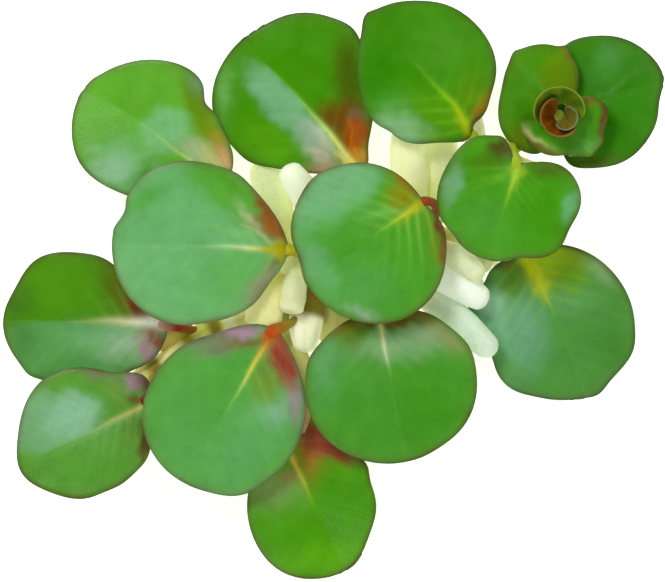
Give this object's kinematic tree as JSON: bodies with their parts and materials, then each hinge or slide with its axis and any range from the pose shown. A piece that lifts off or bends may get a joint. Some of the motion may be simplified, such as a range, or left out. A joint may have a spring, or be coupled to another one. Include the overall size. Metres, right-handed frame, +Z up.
{
  "type": "floating ludwigia plant",
  "caption": "Floating water plant: a creeping stem with round green leaves, a rosette of young leaves at its tip and clusters of spindle-shaped spongy white floats at its nodes.",
  "frame": {"origin": "middle of the plan outline, on the surface the plant lies on", "axes": "+X along the picture's width to its right, +Y up the picture, towards the top leaves, +Z up from the surface to the leaves' upper sides"},
  "size_m": [0.1322, 0.1159, 0.0264],
  "materials": {
    "stem": "satin, smooth, slightly waxy",
    "leaf": "semi-gloss, waxy, finely veined",
    "young_leaf": "semi-gloss, waxy, red-edged",
    "bud": "semi-gloss, waxy",
    "float": "matt, spongy"
  },
  "bodies": {
    "root": {"stem": "stem", "leaf_bottom_left": "leaf", "leaf_outer_left": "leaf", "leaf_top_left": "leaf", "leaf_inner_left": "leaf", "leaf_front_left": "leaf", "leaf_bottom": "leaf", "leaf_front_right": "leaf", "leaf_top_middle": "leaf", "leaf_centre": "leaf", "leaf_lower_right": "leaf", "leaf_top_right": "leaf", "leaf_inner_right": "leaf", "tip_leaf_right": "young_leaf", "tip_leaf_left": "young_leaf", "tip_leaf_front": "young_leaf", "bud_leaf_outer": "bud", "bud_leaf_middle": "bud", "bud_leaf_inner": "bud", "float_left_a": "float", "float_left_back_a": "float", "float_left_back_b": "float", "float_middle_back_a": "float", "float_middle_back_b": "float", "float_right_a": "float", "float_right_b": "float", "float_right_c": "float", "float_right_d": "float", "float_right_e": "float", "float_front_a": "float", "float_front_b": "float", "float_front_c": "float", "float_under_a": "float", "float_under_b": "float", "float_under_c": "float", "float_under_d": "float", "float_under_e": "float", "float_under_f": "float", "float_under_g": "float", "float_under_h": "float", "float_under_i": "float", "float_under_j": "float", "float_under_k": "float", "float_under_l": "float", "float_under_m": "float", "float_under_n": "float", "float_tip_a": "float", "float_tip_b": "float"}
  },
  "joints": []
}
